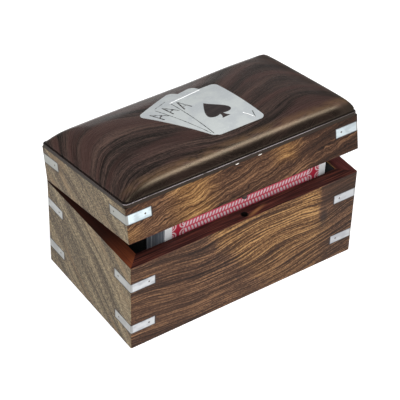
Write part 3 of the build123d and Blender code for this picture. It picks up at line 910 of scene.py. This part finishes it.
def lay_on_pillow(bm, proud):
    """Cut a flat plate into strips and bend it over the pillow."""
    for n in range(-10, 11):
        for normal in (Vector((1, 0, 0)), Vector((0, 1, 0))):
            bmesh.ops.bisect_plane(
                bm,
                geom=bm.verts[:] + bm.edges[:] + bm.faces[:],
                plane_co=normal * n * STRIP,
                plane_no=normal,
            )
    for vert in bm.verts:
        vert.co.z += LID_SEAT + pillow_height(vert.co.x, vert.co.y) + proud


def settled(bm):
    """The same solid with its points and faces in one order, whatever the run."""
    bmesh.ops.remove_doubles(bm, verts=bm.verts, dist=0.002)
    points = sorted(bm.verts, key=lambda vert: tuple(vert.co))
    order = {vert: number for number, vert in enumerate(points)}
    rings = []
    for face in bm.faces:
        ring = [order[vert] for vert in face.verts]
        first = ring.index(min(ring))
        rings.append((ring[first:] + ring[:first], face.material_index))
    result = bmesh.new()
    corners = [result.verts.new(vert.co) for vert in points]
    for ring, slot in sorted(rings):
        result.faces.new([corners[number] for number in ring]).material_index = slot
    result.normal_update()
    bm.free()
    return result


def carve(bm, tool, operation):
    """Boolean of two flat solids; both are used up, and a new bmesh comes back."""
    items = []
    for part in (settled(bm), settled(tool)):
        mesh = bpy.data.meshes.new("part")
        part.to_mesh(mesh)
        part.free()
        for material in inlay_materials:
            mesh.materials.append(material)
        items.append(link_object("part", mesh))
    step = items[0].modifiers.new("carve", "BOOLEAN")
    step.operation = operation
    step.solver = "EXACT"
    step.object = items[1]
    bpy.context.view_layer.update()
    carved = items[0].evaluated_get(bpy.context.evaluated_depsgraph_get())
    mesh = bpy.data.meshes.new_from_object(carved)
    result = bmesh.new()
    result.from_mesh(mesh)
    bpy.data.meshes.remove(mesh)
    for item in items:
        left = item.data
        bpy.data.objects.remove(item)
        bpy.data.meshes.remove(left)
    return settled(result)


def plate(turn):
    """One flat card of the fan, its top at zero height."""
    bm = bmesh.new()
    rounded_rectangle(bm, CARD_WIDTH, CARD_HEIGHT, CARD_ROUND, 8)
    thicken(bm, SHEET)
    bmesh.ops.transform(bm, matrix=turn, verts=bm.verts)
    return bm


def engrave(sheet, start, end, width, slot, turn):
    """Cut a V-shaped line with the lower half of a square bar that lies on edge."""
    start, end = Vector(start), Vector(end)
    run = end - start
    bar = bmesh.new()
    bmesh.ops.create_cube(bar, size=1.0)
    side = width / math.sqrt(2)
    heading = Matrix.Rotation(math.atan2(run.y, run.x), 4, "Z")
    on_edge = heading @ Matrix.Rotation(math.pi / 4, 4, "X")
    shape = Matrix.Diagonal((run.length, side, side, 1))
    place = turn @ Matrix.Translation(((start + end) / 2).to_3d()) @ on_edge @ shape
    bmesh.ops.transform(bar, matrix=place, verts=bar.verts)
    cuts.append((place.inverted(), slot))
    return carve(sheet, bar, "DIFFERENCE")


corner = Matrix.Translation(FAN_CORNER)
turns = [corner @ Matrix.Rotation(card * FAN_STEP, 4, "Z") for card in range(3)]
cuts = []
sheet = plate(turns[0])
for turn in turns[1:]:
    sheet = carve(sheet, plate(turn), "UNION")

# index mark of an ace: two legs and a bar, as places on a card
INDEX_TOP = (2.9, 36.0)
INDEX_MARK = (
    (INDEX_TOP, (1.6, 27.4)),
    (INDEX_TOP, (5.6, 27.6)),
    ((2.1, 30.4), (4.6, 30.6)),
)
for turn in turns:
    for start, end in INDEX_MARK:
        sheet = engrave(sheet, start, end, INDEX_WIDTH, WAX, turn)

# edges of the front card, of the one behind it, and the mark in the far corner,
# as places from the middle of the box and from its front
CARD_LINES = (
    ((-6.0, 14.5), (-6.1, 49.6), WAX),
    ((-6.1, 49.7), (11.6, 52.0), BRIGHT),
    ((-6.9, 15.4), (-15.2, 48.2), WAX),
    ((-14.4, 49.6), (-7.2, 52.6), WAX),
    ((16.3, 14.7), (13.9, 20.8), BRIGHT),
    ((16.3, 14.7), (18.2, 19.8), WAX),
)
front = Matrix.Translation((0, -HALF_WIDTH, 0))
for start, end, slot in CARD_LINES:
    width = BRIGHT_WIDTH if slot == BRIGHT else LINE_WIDTH
    sheet = engrave(sheet, start, end, width, slot, front)

# a face belongs to a cut where it lies on that cut's bar and isn't level
sheet.normal_update()
for to_bar, slot in cuts:
    for face in sheet.faces:
        reach = max(abs(side) for side in to_bar @ face.calc_center_median())
        if reach < 0.51 and abs(face.normal.z) < 0.9:
            face.material_index = slot
bmesh.ops.dissolve_limit(
    sheet, angle_limit=0.001, verts=sheet.verts, edges=sheet.edges, delimit={"MATERIAL"}
)
print("engraved sheet", len(sheet.faces), "faces")
lay_on_pillow(sheet, SHEET_PROUD)
finish_piece("inlay_fan", sheet, "lid", inlay_materials, ["inlay_cards"], 35)

# %% [markdown]
# ### Spade
# The spade is dark wood let into the front card. Its outline is half drawn with
# a smooth curve, mirrored, filled and laid over the pillow like the cards.


# %% Finish of the dark spade
def spade_finish():
    finish = Finish("dark_rosewood_spade")
    grain = finish.here(on_lid=True)
    lines = finish.noise(grain, (0.1, 1.6, 0.5), roughness=0.6)
    colour = finish.mix(finish.step(lines, 0.35, 0.7), (38, 32, 32), (62, 52, 50))
    finish.set(
        Base_Color=colour,
        Roughness=0.4 + lines * 0.15,
        Normal=finish.bump(lines, 0.2, 0.00004),
    )
    return finish.material


SPADE_FOOT = Vector((68.3 - HALF_LENGTH, 22.6 - HALF_WIDTH, 0))
SPADE_TILT = math.radians(5.0)
SPADE_PROUD = SHEET_PROUD + 0.03
# the right half, from the foot up: place, handle before, handle after
SPADE_OUTLINE = (
    ((0.0, 0.0), (0.0, 0.0), (0.8, 0.0)),
    ((2.4, 0.0), (1.8, 0.0), (1.5, 0.5)),
    ((0.9, 3.5), (0.7, 2.4), (1.9, 2.5)),
    ((6.35, 5.4), (6.35, 2.4), (6.35, 8.6)),
    ((0.0, 16.4), (1.4, 12.6), (0.0, 16.4)),
)
outline_curve = bpy.data.curves.new("spade_outline", "CURVE")
outline_curve.dimensions = "2D"
outline_curve.fill_mode = "BOTH"
outline_curve.resolution_u = 10
spline = outline_curve.splines.new("BEZIER")
mirrored = [
    tuple((-place[0], place[1]) for place in (here, after, before))
    for here, before, after in reversed(SPADE_OUTLINE[1:-1])
]
spade_points = list(SPADE_OUTLINE[1:]) + mirrored
spline.bezier_points.add(len(spade_points) - 1)
for knot, (here, before, after) in zip(spline.bezier_points, spade_points):
    knot.handle_left_type = knot.handle_right_type = "FREE"
    knot.co = (*here, 0)
    knot.handle_left = (*before, 0)
    knot.handle_right = (*after, 0)
spline.use_cyclic_u = True
outline_object = link_object("spade_outline", outline_curve)
bpy.context.view_layer.update()
outline = outline_object.evaluated_get(bpy.context.evaluated_depsgraph_get())
flat_spade = bpy.data.meshes.new_from_object(outline)
bpy.data.objects.remove(outline_object)
print("spade outline", len(flat_spade.vertices), "points")

bm = bmesh.new()
bm.from_mesh(flat_spade)
bmesh.ops.remove_doubles(bm, verts=bm.verts, dist=0.001)
inner_edges = [edge for edge in bm.edges if not edge.is_boundary]
bmesh.ops.dissolve_limit(bm, angle_limit=0.001, verts=bm.verts, edges=inner_edges)
thicken(bm, SHEET)
spade_turn = Matrix.Translation(SPADE_FOOT) @ Matrix.Rotation(SPADE_TILT, 4, "Z")
bmesh.ops.transform(bm, matrix=spade_turn, verts=bm.verts)
lay_on_pillow(bm, SPADE_PROUD)
finish_piece("spade", bm, "lid", [spade_finish()], ["inlay_spade"], 35)

# %% [markdown]
# ## Straps and nails
# The corner straps are flush in the wood, so the CAD solids are kept and only get
# the brushed metal. Each nail is a shank with a low round head that stands a
# little proud, as a hammered nail does.

# %% Straps
for node in nodes:
    if "strap" in node and "pins" not in node:
        dress(node, lid_aluminium if node.startswith("lid") else base_aluminium)


# %% Model the nails
NAIL_RADIUS = 0.45
NAIL_HEAD = 0.12
NAIL_LENGTH = 5.0
NAIL_FROM_END = 3.1
# steps that round the head: each one's inset and rise, as shares of its size
HEAD_STEPS = ((0.18, 0.6), (0.3, 0.3), (0.3, 0.1))


def nail(place, outwards):
    """A shank with a domed head, its head at place, looking outwards."""
    bm = bmesh.new()
    bmesh.ops.create_cone(
        bm,
        cap_ends=True,
        segments=16,
        radius1=NAIL_RADIUS,
        radius2=NAIL_RADIUS,
        depth=NAIL_LENGTH,
    )
    bmesh.ops.translate(bm, vec=(0, 0, -NAIL_LENGTH / 2), verts=bm.verts)
    cap = max(bm.faces, key=lambda face: face.calc_center_median().z)
    for inset, rise in HEAD_STEPS:
        bmesh.ops.inset_region(bm, faces=[cap], thickness=NAIL_RADIUS * inset)
        bmesh.ops.translate(bm, vec=(0, 0, NAIL_HEAD * rise), verts=cap.verts)
    turn = outwards.to_track_quat("Z", "Y").to_matrix().to_4x4()
    bmesh.ops.transform(bm, matrix=Matrix.Translation(place) @ turn, verts=bm.verts)
    return bm


def nails(heights):
    """The nails of all straps whose middles are at these heights."""
    whole = bmesh.new()
    along = LEG_FRONT_END + NAIL_FROM_END
    back = LEG_SIDE_END + NAIL_FROM_END
    for height in heights:
        for sign in (-1, 1):
            for side in (-1, 1):
                place = (sign * along, side * HALF_WIDTH, height)
                pour(nail(place, Vector((0, side, 0))), whole)
                place = (side * HALF_LENGTH, sign * back, height)
                pour(nail(place, Vector((side, 0, 0))), whole)
    return whole


steel = clouded(
    "nail_steel", 2.0, (0.4, 0.6), (104, 100, 94), (66, 60, 56), 0.45, 0.25, False, Metallic=0.6
)
finish_piece("base_nails", nails(BASE_STRAPS), "base", [steel], ["base_strap_pins"], 40)
finish_piece("lid_nails", nails(LID_STRAPS), "lid", [steel], ["lid_strap_pins"], 40)

# %% [markdown]
# ## Brass, plain wood and felt
# The hinges are cast brass with a little tarnish, the bottom board and peg are
# plain wood, and the lining is black felt glued to the walls.


# %% Finishes of brass, plain wood and felt
def brass_finish():
    finish = Finish("brass")
    here = finish.here()
    cloud = finish.noise(here, (0.35, 0.35, 0.35), detail=4.0)
    brushed = finish.noise(here, (0.6, 6.0, 6.0), detail=2.0)
    tarnish = finish.step(cloud, 0.4, 0.7)
    finish.set(
        Base_Color=finish.mix(tarnish, (196, 160, 92), (150, 112, 62)),
        Metallic=0.95,
        Roughness=0.3 + cloud * 0.2,
        Normal=finish.bump(brushed, 0.1, 0.00003),
    )
    return finish.material


def plain_wood_finish(name, dark, light):
    finish = Finish(name)
    grain = finish.here()
    lines = finish.noise(grain, (0.02, 0.5, 0.5), roughness=0.6)
    fine = finish.noise(grain, (0.08, 3.0, 3.0), detail=2.0)
    colour = finish.mix(finish.step(lines, 0.35, 0.65), dark, light)
    colour = finish.mix(finish.step(fine, 0.55, 0.75) * 0.5, colour, dark)
    bump = finish.bump(fine, 0.3, 0.00006)
    finish.set(Base_Color=colour, Roughness=0.55 + fine * 0.2, Normal=bump)
    return finish.material


def felt_finish():
    finish = Finish("black_felt")
    here = finish.here()
    fibre = finish.noise(here, (4.0, 4.0, 4.0), detail=4.0, roughness=0.7, distortion=1.5)
    nap = finish.noise(here, (0.12, 0.12, 0.12), detail=2.0)
    colour = finish.mix(finish.step(fibre, 0.3, 0.8), (4, 4, 5), (20, 20, 22))
    colour = finish.mix(finish.step(nap, 0.4, 0.7) * 0.4, colour, (14, 13, 14))
    finish.set(
        Base_Color=colour,
        Roughness=0.92 + fibre * 0.06,
        Normal=finish.bump(fibre, 0.6, 0.0002),
        Sheen_Weight=0.05,
    )
    return finish.material


brass = brass_finish()
plain_wood = plain_wood_finish("plain_wood", (66, 42, 32), (120, 84, 58))
peg_wood = plain_wood_finish("peg_wood", (24, 16, 13), (52, 34, 26))
felt = felt_finish()
# the first word that is found in a node's name settles its finish
looks = {
    "lining": felt,
    "hinge": brass,
    "bottom": plain_wood,
    "divider": plain_wood,
    "peg": peg_wood,
}
for node in nodes:
    for word, material in looks.items():
        if word in node:
            dress(node, material)
            break

# %% [markdown]
# ## Deck of cards
# The deck stands on its long edge behind the front wall. It is modelled as what
# it is: 54 thin cards with round corners, a hair apart, pushed together a little
# unevenly. The front card shows its back, printed with a plain red pattern of
# slanting strokes, with rings at both ends, inside a white margin.


# %% Finish of the cards
def card_finish():
    finish = Finish("card")
    step, hill, mix, noise = finish.step, finish.hill, finish.mix, finish.noise
    x, y, z = finish.place()
    right = x - CARD_LEFT
    up = z - CARD_BOTTOM
    from_end = right.least(CARD_LENGTH - right)
    from_rim = from_end.least(up.least(DECK_WIDTH - up))
    # rows of strokes that slant one way and the other; 20 and 60 only keep them positive
    row = (up - DECK_WIDTH / 2) / STROKE_ROW + 20.0
    in_row = row.wrap(1.0)
    odd = step(row.wrap(2.0), 0.98, 1.02)
    slant = (in_row - 0.5) * (odd * 2.0 - 1.0) * 0.5
    phase = (right - CARD_LENGTH / 2) / STROKE_PERIOD + slant + odd * 0.5 + 60.0
    stroke = step(hill(phase.wrap(1.0), 0.5, 0.5), 0.26, 0.54)
    taper = hill(in_row, 0.5, 0.5).most(0.0).power(0.5)
    white = step(stroke * taper, 0.3, 0.55)
    # an ornament of rings fills the ends of the field
    end_field = 1 - step(from_end, ORNAMENT - 0.3, ORNAMENT + 0.3)
    curl_x = (from_end - MARGIN).fold(3.1)
    curl_y = (up - DECK_WIDTH / 2).fold(2.6)
    curl = (curl_x * curl_x + curl_y * curl_y).power(0.5)
    curls = hill(curl, 2.0, 0.55) + hill(curl, 0.7, 0.45)
    curls = curls + hill(from_end, ORNAMENT, 0.35)
    white = white * (1 - end_field) + curls.least(1.0) * end_field
    inside = step(from_rim, MARGIN - 0.12, MARGIN + 0.12)
    red = mix(end_field, (222, 84, 106), (190, 44, 68))
    field = mix(white * 0.9, red, (252, 232, 236))
    paper = noise(finish.point(x, y, z), (1.5, 1.5, 1.5), detail=2.0)
    plain = mix(paper, (236, 238, 240), (250, 250, 250))
    # painted shade: the ends of the cards are painted a dark bluish grey, for the shade of the
    # lid and of the gaps between the cards
    painted_end_shade = step(from_end, 0.25, 0.05) * step(y, CARD_FACE + 0.2, CARD_FACE + 0.3)
    plain = mix(painted_end_shade * 0.85, plain, (60, 70, 88))
    printed = step(-y, -CARD_FACE - 0.05, -CARD_FACE - 0.03)
    finish.set(
        Base_Color=mix(inside * printed, plain, field),
        Roughness=0.35 + paper * 0.1,
        Normal=finish.bump(paper, 0.05, 0.00002),
    )
    return finish.material


CARD_LENGTH = 88.9
DECK_WIDTH = 63.5
CARD_LEFT = -37.6
CARD_BOTTOM = 3.4
CARD_FACE = -25.16
CORNER_ROUND = 3.2
DECK_THICKNESS = 15.0
CARD_COUNT = 54
CARD_SHARE = 0.88
UNEVEN = 0.22
MARGIN = 3.8
STROKE_PERIOD = 1.75
STROKE_ROW = 3.21
ORNAMENT = 10.0

# %% Model the deck
dealer = random.Random(11)
pitch = DECK_THICKNESS / CARD_COUNT
deck = bmesh.new()
for card in range(CARD_COUNT):
    one = bmesh.new()
    rounded_rectangle(one, CARD_LENGTH, DECK_WIDTH, CORNER_ROUND, 5)
    made = bmesh.ops.extrude_face_region(one, geom=one.faces[:])["geom"]
    bmesh.ops.translate(one, vec=(0, 0, pitch * CARD_SHARE), verts=only(BMVert, made))
    bmesh.ops.recalc_face_normals(one, faces=one.faces)
    shift = 0.0 if card == 0 else dealer.uniform(-UNEVEN, UNEVEN)
    back = CARD_FACE + (card + 0.94) * pitch
    stand = Matrix.Translation((CARD_LEFT + shift, back, CARD_BOTTOM))
    stand = stand @ Matrix.Rotation(math.pi / 2, 4, "X")
    bmesh.ops.transform(one, matrix=stand, verts=one.verts)
    pour(one, deck)
finish_piece("deck_of_cards", deck, "base", [card_finish()], ["card_deck"])

# %% [markdown]
# ## Floor and light
# The box stands on a white table that glows a little, as a light table does, so
# its shadows stay pale and the straps mirror white. Four soft lights stand round
# it: a broad one at the front left shows the figure of both sides, a key light high
# on the right and a weak one above the box are mirrored by the pillow's front roll
# as a narrow line, and a low one in front reaches the cards under the lid.

# %% Floor
FLOOR_DROP = 0.0002
floor_finish = Finish("floor")
floor_cloud = floor_finish.noise(floor_finish.here(), (0.004, 0.004, 0.004), detail=2.0)
floor_finish.set(
    Base_Color=floor_finish.mix(floor_cloud, (246, 246, 246), (250, 250, 250)),
    Roughness=0.8 + floor_cloud * 0.05,
    Emission_Color=(1.0, 1.0, 1.0, 1.0),
    Emission_Strength=0.5,
)
bm = bmesh.new()
bmesh.ops.create_grid(bm, x_segments=4, y_segments=4, size=3.0)
bmesh.ops.translate(bm, vec=(0, 0, -FLOOR_DROP), verts=bm.verts)
mesh = bpy.data.meshes.new("floor")
bm.to_mesh(mesh)
bm.free()
mesh.materials.append(floor_finish.material)
floor = link_object("floor", mesh)

# %% Lights
BOX_MIDDLE = Vector((0, 0, 0.04))
LIGHT_DISTANCE = 1.5


def soft_light(name, direction, size, power):
    """A square area light that looks at the box from a direction."""
    data = bpy.data.lights.new(name, "AREA")
    data.size = size
    data.energy = power
    light = link_object(name, data)
    light.location = Vector(direction).normalized() * LIGHT_DISTANCE + BOX_MIDDLE
    light.rotation_euler = Vector(direction).to_track_quat("Z", "Y").to_euler()


soft_light("key", (0.44, -0.3, 0.85), 0.4, 9.5)
soft_light("hip", (-0.22, -0.24, 0.94), 0.4, 3.0)
soft_light("front_left", (-0.5, -0.6, 0.6), 0.7, 17.0)
soft_light("low_front", (-0.2, -1.0, 0.22), 0.8, 3.0)
world = bpy.data.worlds.new("studio")
world.use_nodes = True
background = world.node_tree.nodes["Background"].inputs
background["Color"].default_value = (0.97, 0.98, 1.0, 1)
background["Strength"].default_value = 0.2
bpy.context.scene.world = world
bpy.context.scene.view_settings.view_transform = "Standard"
